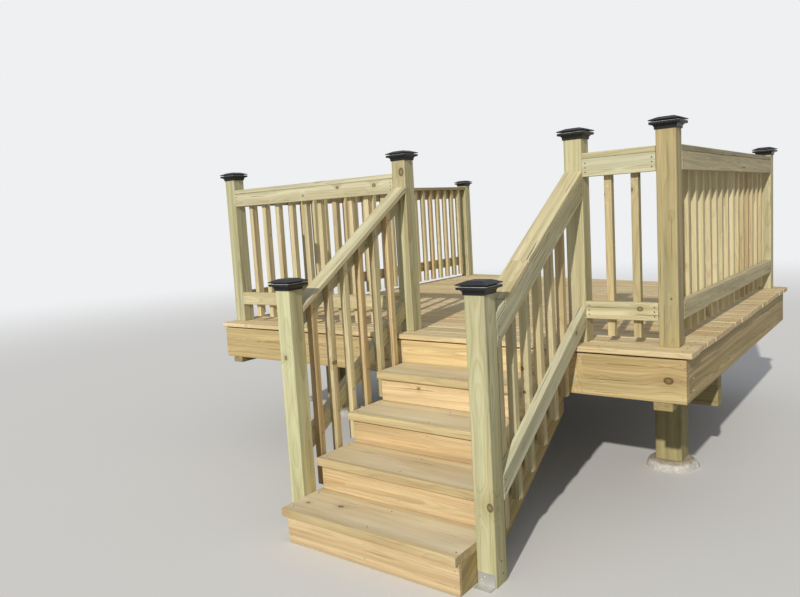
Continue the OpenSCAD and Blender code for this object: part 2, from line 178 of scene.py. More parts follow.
def ring_profile(w, t, r, middle):
    """Corners of a rounded rectangle, counter-clockwise.

    A quarter circle of radius r in steps of 30 degrees stands at each corner, inset by
    r, and extra points stand along the two wide sides.
    """
    arc = np.radians(np.arange(0, 91, 30))
    inset = [(w / 2 - r, t / 2 - r), (r - w / 2, t / 2 - r), (r - w / 2, r - t / 2), (w / 2 - r, r - t / 2)]
    part = [np.stack([c[0] + r * np.cos(arc + i * math.pi / 2),
                      c[1] + r * np.sin(arc + i * math.pi / 2)], 1) for i, c in enumerate(inset)]
    mid = np.linspace(w / 2 - r, r - w / 2, middle + 2)[1:-1]
    top = np.stack([mid, np.full(middle, t / 2)], 1)
    low = np.stack([-mid, np.full(middle, -t / 2)], 1)
    return np.concatenate([part[0], top, part[1], part[2], low, part[3]])


def tube_faces(rows, cols):
    """Quads of a grid whose columns close into a ring, and its two end polygons."""
    j, k = np.meshgrid(np.arange(rows - 1), np.arange(cols), indexing="ij")
    n = (k + 1) % cols
    quads = np.stack([j * cols + k, j * cols + n, (j + 1) * cols + n, (j + 1) * cols + k], -1).reshape(-1, 4)
    return quads, [np.arange(cols)[::-1], np.arange(cols) + (rows - 1) * cols]


def knots_on(origin, frame_axes, length, width, thick):
    """Places along, across and through a board of the listed knots that lie on it, with their radii."""
    slack = 0.004
    found = []
    for point, radius in KNOTS:
        s, u, v = frame_axes @ (np.array(point) - origin)
        if 0 < s < length and abs(u) < width / 2 + slack and abs(v) < thick / 2 + slack:
            found.append((s, u, v, radius))
    return found[:KNOTS_PER_BOARD]


def plank(origin, along, across, length, width, thick, ease=BOARD_EASE, start=None, end=None, middle=3,
          tone=None, lean=0.0):
    """One sawn board: a rounded rectangle carried along a straight line.

    The point (s, u, v) lies at origin + s * along + u * across + v * third, where
    s runs between the two cut ends, which may be functions of u and v. The sides draw
    in by WANE * (0.5 + 0.5 * sin(WANE_WAVE * s + bow)), half as much through the
    thickness, and by the chamfer at the ends. The first end stands up to lean out of
    line. The grain coordinates are the same numbers seen from a tilted pith near the
    board, and a knot's are the distances from its middle over its radius.
    """
    third = np.cross(along, across)
    ring = ring_profile(width, thick, ease, middle)
    u, v = ring[:, 0], ring[:, 1]
    first = start(u, v) if start else np.zeros(len(u))
    last = end(u, v) if end else np.full(len(u), length)
    count = max(2, int(math.ceil(length / STATION)))
    share = np.linspace(0, 1, count + 1)
    chamfer = min(END_CHAMFER / length, 0.02)
    share = np.sort(np.concatenate([share, [chamfer, 1 - chamfer]]))[:, None]
    s = first + (last - first) * share
    bow = rng.uniform(0, 2 * math.pi)
    shrink = WANE * (0.5 + 0.5 * np.sin(share * length * WANE_WAVE + bow))
    tip = np.where((share < chamfer / 2) | (share > 1 - chamfer / 2), END_CHAMFER, 0.0)
    uu = u * (1 - (shrink + tip) * 2 / width)
    vv = v * (1 - (0.5 * shrink + tip) * 2 / thick)
    shift = rng.uniform(-1, 1, 2) * lean * (1 - share[..., None])
    place = origin + s[..., None] * along + (uu + shift[..., 0])[..., None] * across \
        + (vv + shift[..., 1])[..., None] * third
    rows, cols = s.shape
    quads, caps = tube_faces(rows, cols)
    side = rng.choice([-1.0, 1.0])
    pith_u = rng.uniform(-0.3, 0.3) * width
    pith_v = side * rng.uniform(0.2, 0.9) * (thick / 2 + 0.02)
    tilt = rng.uniform(-GRAIN_TILT, GRAIN_TILT, 2)
    grain = np.stack([s + rng.uniform(0, TRUNK), uu - pith_u + tilt[0] * s, vv - pith_v + tilt[1] * s], -1)
    local = np.stack([2 * s / length - 1, 2 * uu / width, 2 * vv / thick], -1)
    points = {"grain": grain, "local": local,
              "tone": np.broadcast_to(rng.uniform(0, 1, 3) ** TONE_SKEW if tone is None else np.array(tone),
                                      grain.shape)}
    on_board = knots_on(origin, np.stack([along, across, third]), length, width, thick)
    through = 1.0 if thick > THICK_STOCK else 0.0
    for i in range(KNOTS_PER_BOARD):
        if i < len(on_board):
            ks, ku, kv, radius = on_board[i]
            points["knot_%d" % i] = np.stack([(s - ks) / (KNOT_STRETCH * radius), (uu - ku) / radius,
                                              (vv - kv) * through / (2 * radius)], -1)
        else:
            points["knot_%d" % i] = np.full(grain.shape, FAR)
    return {"co": place.reshape(-1, 3), "quads": quads, "caps": caps,
            "points": {key: value.reshape(-1, 3) for key, value in points.items()}}


def boxed(low, high, along, ease=BOARD_EASE, **more):
    """A plank that fills the box from low to high, running along the axis given."""
    size = high - low
    rest = [a for a in range(3) if a != along]
    wide = rest[0] if size[rest[0]] >= size[rest[1]] else rest[1]
    narrow = rest[0] + rest[1] - wide
    axes = np.eye(3)
    origin = (low + high) / 2
    origin[along] = low[along]
    return plank(origin, axes[along], axes[wide], size[along], size[wide], size[narrow], ease, **more)


def place_piece(name, mesh, material, nodes=()):
    """Puts a finished mesh in the scene as a piece of the one body."""
    mesh.materials.append(material)
    mesh.update()
    piece = bpy.data.objects.new(name, mesh)
    bpy.context.scene.collection.objects.link(piece)
    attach(piece, "root")
    if nodes:
        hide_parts(*nodes)
    return piece


def write_vectors(mesh, points):
    """Stores point attributes of three numbers each, given by name."""
    for key, value in points.items():
        mesh.attributes.new(key, "FLOAT_VECTOR", "POINT").data.foreach_set("vector", value.ravel())


def lumber(name, planks, material, nodes=()):
    """Joins planks into one piece with the attributes that the wood reads."""
    base = np.cumsum([0] + [len(p["co"]) for p in planks])
    faces, ends = [], []
    for p, b in zip(planks, base):
        faces += (p["quads"] + b).tolist() + [(c + b).tolist() for c in p["caps"]]
        ends += [0.0] * len(p["quads"]) + [1.0] * len(p["caps"])
    mesh = bpy.data.meshes.new(name)
    mesh.from_pydata(np.concatenate([p["co"] for p in planks]).tolist(), [], faces)
    write_vectors(mesh, {key: np.concatenate([p["points"][key] for p in planks])
                         for key in planks[0]["points"]})
    mesh.attributes.new("end", "FLOAT", "FACE").data.foreach_set("value", ends)
    return place_piece(name, mesh, material, nodes)


def retone(piece, tone, below=math.inf):
    """Gives the part of a finished piece that lies below a height another tone."""
    data = piece.data.attributes["tone"].data
    now = np.empty(len(data) * 3)
    data.foreach_get("vector", now)
    co = np.empty(len(data) * 3)
    piece.data.vertices.foreach_get("co", co)
    now = np.where(co.reshape(-1, 3)[:, 2:] < below, np.array(tone), now.reshape(-1, 3))
    data.foreach_set("vector", now.ravel())


# Materials

class Graph:
    """Short calls for a material's nodes."""

    def __init__(self, name):
        self.material = bpy.data.materials.new(name)
        self.material.use_nodes = True
        self.nodes = self.material.node_tree.nodes
        self.links = self.material.node_tree.links
        self.shader = self.nodes["Principled BSDF"]

    def put(self, socket, value):
        if isinstance(value, bpy.types.NodeSocket):
            self.links.new(value, socket)
        elif isinstance(value, tuple) and len(value) == 3 and socket.type == "RGBA":
            socket.default_value = (*value, 1.0)
        else:
            socket.default_value = value

    def node(self, kind, *values, **settings):
        """Adds a node with its settings, and fills its first inputs with the values."""
        node = self.nodes.new("ShaderNode" + kind)
        for key, value in settings.items():
            setattr(node, key, value)
        for socket, value in zip(node.inputs, values):
            self.put(socket, value)
        return node

    def math(self, operation, *values):
        return self.node("Math", *values, operation=operation).outputs[0]

    def split(self, vector):
        return tuple(self.node("SeparateXYZ", vector).outputs)

    def attribute(self, name, output="Vector"):
        return self.node("Attribute", attribute_name=name).outputs[output]

    def mix(self, share, a, b, blend="MIX"):
        node = self.node("Mix", share, data_type="RGBA", blend_type=blend)
        self.put(node.inputs[6], a)
        self.put(node.inputs[7], b)
        return node.outputs[2]

    def ramp(self, value, low, high, to_low=0.0, to_high=1.0):
        return self.node("MapRange", value, low, high, to_low, to_high,
                         interpolation_type="SMOOTHSTEP").outputs[0]

    def stretch(self, parts, scale):
        """A vector of the parts, each times its factor, which is a noise's cells per unit of that part."""
        scaled = [self.math("MULTIPLY", part, factor) for part, factor in zip(parts, scale)]
        return self.node("CombineXYZ", *scaled).outputs[0]

    def noise(self, vector, detail=3.0, rough=0.5, scale=1.0):
        node = self.node("TexNoise", vector)
        self.put(node.inputs["Scale"], scale)
        self.put(node.inputs["Detail"], detail)
        self.put(node.inputs["Roughness"], rough)
        return node.outputs["Fac"]

    def bump(self, height, strength, distance):
        node = self.node("Bump")
        self.put(node.inputs["Strength"], strength)
        self.put(node.inputs["Distance"], distance)
        self.put(node.inputs["Height"], height)
        self.put(self.shader.inputs["Normal"], node.outputs[0])


def srgb(r, g, b):
    """Linear colour of a screen colour given in 0 to 255."""
    return tuple(((c / 255 + 0.055) / 1.055) ** 2.4 if c > 10 else c / 3295 for c in (r, g, b))


def knot_distance(g, parts, amount):
    """Distance from the nearest knot, in knot radii.

    Besides the listed knots there are some at the middles of random cells, which show
    as spots wherever a face passes close to one.
    """
    per_metre = 8.0
    least, more = 0.004, 0.007
    near = None
    for i in range(KNOTS_PER_BOARD):
        away = g.node("VectorMath", g.attribute("knot_%d" % i), operation="LENGTH").outputs["Value"]
        near = away if near is None else g.math("MINIMUM", near, away)
    cells = g.node("TexVoronoi", voronoi_dimensions="3D")
    g.put(cells.inputs["Vector"], g.stretch(parts, (per_metre,) * 3))
    g.put(cells.inputs["Scale"], 1.0)
    chance = g.node("SeparateColor", cells.outputs["Color"]).outputs
    radius = g.math("MULTIPLY_ADD", chance[1], more, least)
    away = g.math("DIVIDE", g.math("DIVIDE", cells.outputs["Distance"], per_metre), radius)
    skipped = g.math("GREATER_THAN", chance[0], amount)
    return g.math("MINIMUM", near, g.math("MULTIPLY_ADD", skipped, FAR, away))


def wood(name, pale, late, green, warm, ring=0.008, rings=0.30, bands=0.35, greenness=0.5, spread=0.12,
         knots=0.35, cracks=0.5, rough=0.62, worn=0.0, worn_colour=(0.5, 0.45, 0.35)):
    """Sawn pine, from the grain coordinates along and around the pith.

    The growth rings are the fraction of the distance from the pith over the ring width,
    bent by noise and by knots, and grouped in darker and paler bands of several rings.
    Streaks and short drying cracks follow the fibres, a green tint from the treatment
    lies in patches, and each board has a tone of its own. Worn faces are the ones that
    look up. The ring width is in metres, spread is how far the boards' lightness differs,
    and the other strengths are shares.
    """
    bent_by_noise, bent_by_knots = 0.045, 0.020
    g = Graph(name)
    parts = g.split(g.attribute("grain"))
    t1, t2, t3 = g.split(g.attribute("tone"))
    away = knot_distance(g, parts, knots)
    knot = g.ramp(away, 0.75, 1.05, 1.0, 0.0)
    halo = g.ramp(away, 0.8, 5.5, 1.0, 0.0)

    bend = g.noise(g.stretch(parts, (2.4, 6.0, 6.0)), 2.0)
    radius = g.math("SQRT", g.math("ADD", g.math("POWER", parts[1], 2.0), g.math("POWER", parts[2], 2.0)))
    radius = g.math("MULTIPLY_ADD", bend, bent_by_noise, radius)
    radius = g.math("MULTIPLY_ADD", halo, bent_by_knots, radius)
    ring_at = g.math("DIVIDE", radius, ring)
    part_of_ring = g.math("FRACT", ring_at)
    rising = g.math("POWER", part_of_ring, 3.5)
    falling = g.ramp(part_of_ring, 0.88, 1.0, 1.0, 0.0)
    band = g.ramp(g.noise(g.stretch((ring_at, parts[0], t2), (0.42, 0.25, 9.0)), 2.0), 0.32, 0.68)
    lines = g.math("MULTIPLY", g.math("MULTIPLY", rising, falling), g.math("MULTIPLY_ADD", band, 0.8, 0.7))

    streak = g.noise(g.stretch(parts, (0.8, 38.0, 38.0)), 4.0, 0.62)
    patch = g.noise(g.stretch(parts, (1.3, 7.0, 7.0)), 3.0, 0.55)
    fibre = g.noise(g.stretch(parts, (14.0, 420.0, 420.0)), 2.0, 0.6)
    split = g.noise(g.stretch(parts, (2.2, 130.0, 130.0)), 1.0)
    crack = g.math("MULTIPLY", g.ramp(split, 0.69, 0.73), cracks)

    colour = g.mix(g.math("MULTIPLY", g.ramp(t3, 0.4, 1.0), 0.65), pale, warm)
    green_patch = g.ramp(g.math("MULTIPLY_ADD", t1, 0.4, patch), 0.45, 0.95)
    colour = g.mix(g.math("MULTIPLY", green_patch, greenness), colour, green)
    colour = g.mix(g.math("MULTIPLY", band, bands), colour, late)
    colour = g.mix(g.math("MULTIPLY", lines, rings), colour, late)
    tone = g.math("MULTIPLY_ADD", t2, spread, -spread / 2)
    light = g.math("ADD", g.ramp(streak, 0.25, 0.75, 0.78, 1.14), tone)
    light = g.math("MULTIPLY", light, g.ramp(patch, 0.25, 0.75, 0.94, 1.05))
    light = g.math("MULTIPLY", light, g.ramp(fibre, 0.3, 0.7, 0.95, 1.04))
    shade = g.node("CombineColor", light, light, light).outputs[0]
    colour = g.mix(1.0, colour, shade, "MULTIPLY")
    if worn:
        up = g.ramp(g.split(g.node("NewGeometry").outputs["Normal"])[2], 0.85, 0.97)
        edge = g.ramp(g.math("ABSOLUTE", g.split(g.attribute("local"))[1]), 0.55, 1.0, 1.0, 0.25)
        rubbed = g.math("MULTIPLY", g.math("MULTIPLY", up, edge), g.ramp(patch, 0.25, 0.75, 0.3 * worn, worn))
        colour = g.mix(rubbed, colour, worn_colour)
    dark = tuple(0.30 * c for c in late)
    colour = g.mix(g.math("MULTIPLY", g.math("POWER", halo, 3.0), 0.3), colour, late)
    heart = g.ramp(away, 0.1, 0.85, 0.50, 0.95)
    colour = g.mix(g.math("MULTIPLY", knot, heart), colour, dark)
    colour = g.mix(crack, colour, dark)
    colour = g.mix(g.math("MULTIPLY", g.attribute("end", "Fac"), 0.15), colour, late)
    g.put(g.shader.inputs["Base Color"], colour)
    g.put(g.shader.inputs["Roughness"], g.math("MULTIPLY_ADD", lines, 0.12, rough))
    g.put(g.shader.inputs["Specular IOR Level"], 0.35)
    height = g.math("ADD", g.math("MULTIPLY", lines, 0.5), g.math("MULTIPLY", fibre, 0.6))
    g.bump(g.math("MULTIPLY_ADD", crack, -1.5, height), 0.4, 0.0006)
    return g.material


def plain_bumped(name, colour, second, rough, metal=0.0, grain=90.0, bump=0.2, depth=0.0004):
    """A surface with two colours in cloudy patches and a fine cast or moulded texture."""
    g = Graph(name)
    place = g.node("TexCoord").outputs["Object"]
    cloud = g.noise(place, 4.0, 0.6, grain * 0.12)
    fine = g.noise(place, 3.0, 0.55, grain)
    g.put(g.shader.inputs["Base Color"], g.mix(g.ramp(cloud, 0.3, 0.7, 0.0, 0.6), colour, second))
    g.put(g.shader.inputs["Roughness"], g.ramp(fine, 0.3, 0.7, rough - 0.06, rough + 0.06))
    g.put(g.shader.inputs["Metallic"], metal)
    g.bump(fine, bump, depth)
    return g.material


def moulded_plastic():
    """Black plastic with a satin skin, and a pale, patchy painted highlight along the lip's upper edge, on
    the rings that a point attribute marks.
    """
    g = Graph("Black moulding")
    place = g.node("TexCoord").outputs["Object"]
    fine = g.noise(place, 3.0, 0.55, 500.0)
    scuff = g.noise(place, 4.0, 0.7, 60.0)
    colour = g.mix(g.ramp(scuff, 0.45, 0.8, 0.0, 0.5), (0.008, 0.0095, 0.010), (0.018, 0.020, 0.021))
    # Painted highlight: pale grey mixed onto the marked edge rings, in patches that follow the scuffs
    rub = g.math("MULTIPLY", g.attribute("rub", "Fac"), g.ramp(scuff, 0.3, 0.7, 0.5, 1.0))
    g.put(g.shader.inputs["Base Color"], g.mix(rub, colour, (0.70, 0.71, 0.70)))
    g.put(g.shader.inputs["Roughness"], g.ramp(fine, 0.3, 0.7, 0.30, 0.42))
    g.bump(fine, 0.15, 0.0003)
    return g.material


def cast_concrete():
    """Rough concrete, whitish around the low rim and stained with earth on top."""
    g = Graph("Footing concrete")
    place = g.node("TexCoord").outputs["Object"]
    cloud = g.noise(place, 5.0, 0.65, 14.0)
    fine = g.noise(place, 5.0, 0.7, 45.0)
    high = g.math("MULTIPLY_ADD", cloud, 0.03, g.split(place)[2])
    top = g.mix(g.ramp(fine, 0.35, 0.65), srgb(176, 165, 146), srgb(150, 138, 120))
    rim = g.mix(g.ramp(fine, 0.35, 0.65), srgb(214, 212, 206), srgb(184, 180, 172))
    g.put(g.shader.inputs["Base Color"], g.mix(g.ramp(high, 0.046, 0.058), rim, top))
    g.put(g.shader.inputs["Roughness"], 0.92)
    g.bump(fine, 0.9, 0.006)
    return g.material


post_wood = wood("Post pine", srgb(212, 205, 168), srgb(158, 143, 94), srgb(180, 184, 142),
                 srgb(200, 172, 114), ring=0.009, rings=0.55, bands=0.45, greenness=0.7, spread=0.20,
                 knots=0.08)
rail_wood = wood("Rail pine", srgb(214, 210, 179), srgb(164, 148, 100), srgb(184, 188, 150),
                 srgb(214, 196, 150), ring=0.008, rings=0.50, bands=0.42, greenness=0.6, knots=0.3,
                 cracks=0.8)
baluster_wood = wood("Baluster pine", srgb(220, 206, 165), srgb(160, 134, 88), srgb(190, 188, 144),
                     srgb(208, 172, 120), ring=0.008, rings=0.45, bands=0.42, greenness=0.5, spread=0.20,
                     knots=0.3)
deck_wood = wood("Decking pine", srgb(231, 212, 168), srgb(185, 155, 109), srgb(204, 197, 152),
                 srgb(224, 194, 143), ring=0.007, rings=0.45, bands=0.38, greenness=0.35, knots=0.35)
rim_wood = wood("Rim pine", srgb(208, 188, 138), srgb(152, 120, 70), srgb(188, 178, 126),
                srgb(230, 206, 160), ring=0.007, rings=0.65, bands=0.42, greenness=0.3, knots=0.1)
tread_wood = wood("Tread pine", srgb(206, 184, 140), srgb(164, 138, 94), srgb(188, 178, 134),
                  srgb(206, 176, 128), ring=0.009, rings=0.5, bands=0.45, greenness=0.7, knots=0.0,
                  worn=0.85, worn_colour=srgb(231, 219, 189))
riser_wood = wood("Riser pine", srgb(224, 203, 162), srgb(188, 150, 98), srgb(216, 204, 158),
                  srgb(227, 198, 146), ring=0.008, rings=0.50, bands=0.38, greenness=0.25, knots=0.0)
stringer_wood = wood("Stringer pine", srgb(184, 164, 112), srgb(140, 112, 66), srgb(160, 152, 104),
                     srgb(178, 146, 90), ring=0.009, rings=0.5, bands=0.42, greenness=0.6, knots=0.2)
frame_wood = wood("Frame pine", srgb(184, 168, 122), srgb(138, 114, 74), srgb(152, 148, 104),
                  srgb(174, 146, 98), ring=0.009, rings=0.5, bands=0.42, greenness=0.7, knots=0.3)
cap_plastic = moulded_plastic()
zinc = plain_bumped("Zinc coat", (0.66, 0.67, 0.64), (0.50, 0.51, 0.48), 0.42, metal=0.55, grain=160.0)
screw_steel = plain_bumped("Screw heads", (0.20, 0.17, 0.11), (0.11, 0.095, 0.07), 0.5, metal=0.6,
                           grain=400.0)
concrete = cast_concrete()


# Lumber

def deck_boards():
    """Decking: boards along X, each cut where it meets the wall line."""
    made = []
    for low, high in solids("decking_boards"):
        middle_y = (low[1] + high[1]) / 2

        def cut(u, v, low=low, high=high, middle_y=middle_y):
            line = (ledger_high[1] - WALL_GAP - middle_y - u) / wall_slope + ledger_low[0]
            return np.minimum(high[0], line) - low[0]

        made.append(boxed(low, high, 0, DECKING_EASE, end=cut, middle=9))
    lumber("deck_boards", made, deck_wood, ["decking_boards"])


def front_rim_board():
    """The front rim, a little below the decking, with a tone of its own behind the stairs."""
    low, high = box_of("front_rim")
    high[2] -= RIM_GAP
    made = boxed(low, high, 0, tone=FRONT_RIM_TONE)
    x = made["co"][:, 0]
    on_stairs = (x > stair_l - STATION) & (x < stair_r)
    tone = np.array(made["points"]["tone"])
    tone[on_stairs] = TOP_RISER_TONE
    made["points"]["tone"] = tone
    lumber("front_rim_board", [made], rim_wood, ["front_rim"])


def skew_boards(name, node, material, tone=None):
    """Boards along Y that end on the slant at the ledger."""
    made = []
    for low, high in solids(node):
        origin = (low + high) / 2
        origin[1] = low[1]
        reach = high[1] - low[1]
        wide = high[0] - low[0]
        made.append(plank(origin, Y, Z, reach, high[2] - low[2], wide, tone=tone,
                          end=lambda u, v, reach=reach, wide=wide: reach - (v + wide / 2) * wall_slope))
    lumber(name, made, material, [node])


def ledger_board():
    """The wall board: a plank along the slanted wall line with ends cut along Y."""
    turn = math.atan(wall_slope)
    along = np.array([math.cos(turn), -math.sin(turn), 0.0])
    inward = np.array([-math.sin(turn), -math.cos(turn), 0.0])
    length = (ledger_high[0] - ledger_low[0]) / math.cos(turn)
    thick = right_rim_high[0] - right_rim_low[0]
    corner = np.array([ledger_low[0], ledger_high[1], (ledger_low[2] + ledger_high[2]) / 2])
    made = plank(corner + inward * thick / 2, along, Z, length, ledger_high[2] - ledger_low[2], thick,
                 start=lambda u, v: (v + thick / 2) * wall_slope,
                 end=lambda u, v: length + (v + thick / 2) * wall_slope)
    lumber("ledger_board", [made], frame_wood, ["wall_ledger"])


def axis_boards(name, node, along, material, slot, ease=BOARD_EASE, **more):
    """Square-cut boards or posts that fill their solids' boxes."""
    made = [boxed(low, high, along, ease, **more) for low, high in solids(node)]
    return lumber(name, made, material, [node])


def raked(low, high, ease=BOARD_EASE, tone=None):
    """A raked board with plumb ends, at the pitch of the stairs, that fills a box.

    Its plumb height is the box's height less its rise, its section's height is that
    times the pitch's cosine, and its ends move along the slope by the slope times the
    height in the section. One that is wider than high is a cap, and stops CAP_JOINT
    short at both ends.
    """
    run = high[1] - low[1]
    plumb_height = high[2] - low[2] - run * slope
    along = np.array([0.0, math.cos(pitch), math.sin(pitch)])
    upward = np.array([0.0, -math.sin(pitch), math.cos(pitch)])
    height = plumb_height * math.cos(pitch)
    thick = high[0] - low[0]
    length = run / math.cos(pitch)
    origin = np.array([(low[0] + high[0]) / 2, low[1], low[2] + plumb_height / 2])
    if height >= thick:
        return plank(origin, along, upward, length, height, thick, ease, tone=tone,
                     start=lambda u, v: u * slope, end=lambda u, v: length + u * slope)
    return plank(origin, along, -X, length, thick, height, ease, tone=tone,
                 start=lambda u, v: v * slope + CAP_JOINT, end=lambda u, v: length + v * slope - CAP_JOINT)


def raked_boards(name, node, ease=BOARD_EASE, tones=(None,)):
    """The raked rails or caps of a node, with the tones given in turn."""
    boards = sorted(solids(node), key=lambda b: tuple(np.round((b[0] + b[1])[:2], 3)))
    made = [raked(low, high, ease, tones[i % len(tones)]) for i, (low, high) in enumerate(boards)]
    return lumber(name, made, rail_wood, [node])


def stair_baluster_row(name, node):
    """Stair balusters: square lower ends, short of their solids', and tops cut to the rake."""
    made = []
    for number, (low, high) in enumerate(solids(node)):
        tone = FIRST_BALUSTER_TONE if number == 0 and node == "stair_left_balusters" else None
        origin = (low + high) / 2
        origin[2] = low[2]
        wide = high[1] - low[1]
        reach = high[2] - low[2] - wide * slope / 2
        made.append(plank(origin, Z, X, reach, high[0] - low[0], wide, BALUSTER_EASE, middle=1, tone=tone,
                          start=lambda u, v: np.full(len(u), BALUSTER_CUT),
                          end=lambda u, v, reach=reach: reach + v * slope, lean=BALUSTER_LEAN))
    lumber(name, made, baluster_wood, [node])


def stringer_board(name, node):
    """A cut stringer: the solid's own saw-tooth outline, with its grain along the slope."""
    pith_u, pith_v = 0.05, 0.06
    tilt_u, tilt_v = 0.012, 0.01
    low = box_of(node)[0]
    co, tri = triangles_of(node)
    mesh = bpy.data.meshes.new(name)
    mesh.from_pydata(co.tolist(), [], tri.tolist())
    s = (co - low) @ np.array([0.0, math.cos(pitch), math.sin(pitch)])
    u = (co - low) @ np.array([0.0, -math.sin(pitch), math.cos(pitch)])
    v = co[:, 0] - low[0]
    far = np.full(co.shape, FAR)
    points = {"grain": np.stack([s + rng.uniform(0, TRUNK), u - pith_u + tilt_u * s,
                                 v - pith_v + tilt_v * s], 1),
              "tone": np.tile(rng.uniform(0, 1, 3), (len(co), 1)), "local": np.stack([s, u, v], 1)}
    points.update({"knot_%d" % i: far for i in range(KNOTS_PER_BOARD)})
    write_vectors(mesh, points)
    piece = place_piece(name, mesh, stringer_wood, [node])
    soften = piece.modifiers.new("Eased edges", "BEVEL")
    soften.width = 0.0015
    soften.segments = 1
    soften.limit_method = "ANGLE"


def deck_cap_boards():
    """Flat boards on the deck's railings, along X in front and along Y at the sides."""
    made = []
    for low, high in solids("deck_rail_caps"):
        along = 0 if high[0] - low[0] > high[1] - low[1] else 1
        made.append(boxed(low, high, along, CAP_EASE, tone=None if along == 0 else SIDE_CAP_TONE))
    lumber("deck_cap_boards", made, rail_wood, ["deck_rail_caps"])


deck_boards()
front_rim_board()
skew_boards("left_rim_board", "left_rim", rim_wood)
skew_boards("right_rim_board", "right_rim", rim_wood, RIGHT_RIM_TONE)
skew_boards("joist_boards", "joists", frame_wood)
ledger_board()
axis_boards("beam_boards", "drop_beams", 0, frame_wood, "shaded_frame")
axis_boards("support_posts", "beam_posts", 2, frame_wood, "shaded_frame", POST_EASE)
axis_boards("cleat_boards", "rim_cleats", 1, frame_wood, "shaded_frame")
for side in ("left", "middle", "right"):
    stringer_board(side + "_stringer_board", side + "_stringer")
for k in range(1, 5):
    tread = axis_boards("tread_board_%d" % k, "tread_%d" % k, 0, tread_wood, "tread_wood", middle=7)
    retone(tread, TREAD_TONES[k - 1])
    axis_boards("riser_board_%d" % k, "riser_%d" % k, 0, riser_wood, "riser_wood", BALUSTER_EASE,
                tone=RISER_TONES[k - 1])
for post, tone in POST_TONES.items():
    axis_boards(post + "_timber", post, 2, post_wood, "post_wood", POST_EASE, tone=tone)
rail_box = box_of("front_right_rails")
for panel, along in (("front_left", 0), ("front_right", 0), ("left_side", 1), ("right_side", 1)):
    rails = axis_boards(panel + "_rail_boards", panel + "_rails", along, rail_wood, "rail_wood")
    if panel.endswith("side"):
        retone(rails, SIDE_RAIL_TONE)
    if panel == "front_right":
        retone(rails, FRONT_LOW_RAIL_TONE, below=(rail_box[0][2] + rail_box[1][2]) / 2)
    axis_boards(panel + "_baluster_row", panel + "_balusters", 2, baluster_wood, "baluster_wood",
                BALUSTER_EASE, lean=BALUSTER_LEAN)
for panel in ("stair_left", "stair_right"):
    rails = raked_boards(panel + "_rail_boards", panel + "_rails")
    if panel == "stair_right":
        retone(rails, RIGHT_RAKED_RAIL_TONE)
    stair_baluster_row(panel + "_baluster_row", panel + "_balusters")
raked_boards("stair_cap_boards", "stair_rail_caps", CAP_EASE, STAIR_CAP_TONES)
deck_cap_boards()


# Moulded caps, footings and bracket

LIP_HIGH = 0.033    # height of a cap's lip above its lower edge


def cap_profile(half):
    """Half widths, heights and corner radii of a cap, from inside the pocket out to the top.

    The cove is a quarter circle under the lip; edges are eased by small steps; above
    the lip come the slot, the roof plate and its hipped slope up to the flat top.
    """
    ease = 0.0010
    pocket, pocket_high = 0.0450, 0.024
    collar, core, lip, roof, flat, crown = 0.0485, 0.0495, 0.0665, 0.036, 0.034, 0.012
    collar_high, cove, slot_high, edge_high, high = 0.007, 0.014, 0.038, 0.042, 0.054
    turn = np.radians(np.arange(0, 91, 15))
    cove_w = collar + cove * (1 - np.cos(turn))
    cove_z = collar_high + cove * np.sin(turn)
    lip_low = collar_high + cove
    rows = [(pocket, pocket_high), (pocket, 0.0), (collar - ease, 0.0), (collar, ease)]
    rows += list(zip(cove_w, cove_z))
    rows += [(lip - 2 * ease, lip_low), (lip, lip_low + 2 * ease), (lip, LIP_HIGH - 2 * ease),
             (lip - 0.6 * ease, LIP_HIGH - 0.6 * ease), (lip - 2 * ease, LIP_HIGH), (core + ease, LIP_HIGH),
             (core, LIP_HIGH + ease), (core, slot_high), (half - ease, slot_high), (half, slot_high + ease),
             (half, edge_high - ease), (half - ease, edge_high), (roof, high - 0.6 * ease), (flat, high),
             (crown, high)]
    rows = np.array(rows)
    return rows[:, 0], rows[:, 1], np.clip(0.06 * rows[:, 0], 0.0015, 0.004)


def moulded_caps():
    """The eight caps, each a stack of squares with rounded corners, joined ring to ring.

    A point attribute is 1 on the rings at the lip's upper edge, which carry a painted highlight.
    """
    boxes = solids("post_caps")
    half = (boxes[0][1][0] - boxes[0][0][0]) / 2
    w, z, r = cap_profile(half)
    arc = np.radians(np.arange(0, 91, 22.5))
    turn = (np.arange(4)[:, None] * math.pi / 2 + arc).ravel()
    corner_x = np.repeat([1.0, -1.0, -1.0, 1.0], len(arc))
    corner_y = np.repeat([1.0, 1.0, -1.0, -1.0], len(arc))
    ring = np.stack([(w - r)[:, None] * corner_x + r[:, None] * np.cos(turn),
                     (w - r)[:, None] * corner_y + r[:, None] * np.sin(turn),
                     np.broadcast_to(z[:, None], (len(w), len(turn)))], -1)
    quads, caps = tube_faces(*ring.shape[:2])
    # Rings at the lip's upper edge get a painted highlight
    rub = ((np.abs(z - LIP_HIGH) < 0.0015) & (w > 0.06)).astype(float)
    co, faces = [], []
    for low, high in boxes:
        middle = np.array([(low[0] + high[0]) / 2, (low[1] + high[1]) / 2, low[2]])
        base = len(co) * ring[..., 0].size
        faces += (quads + base).tolist() + [(caps[1] + base).tolist(), (caps[0] + base).tolist()]
        co.append((ring + middle).reshape(-1, 3))
    mesh = bpy.data.meshes.new("moulded_caps")
    mesh.from_pydata(np.concatenate(co).tolist(), [], faces)
    painted_highlights = np.tile(np.repeat(rub, ring.shape[1]), len(boxes))
    mesh.attributes.new("rub", "FLOAT", "POINT").data.foreach_set("value", painted_highlights)
    place_piece("moulded_caps", mesh, cap_plastic, ["post_caps"])


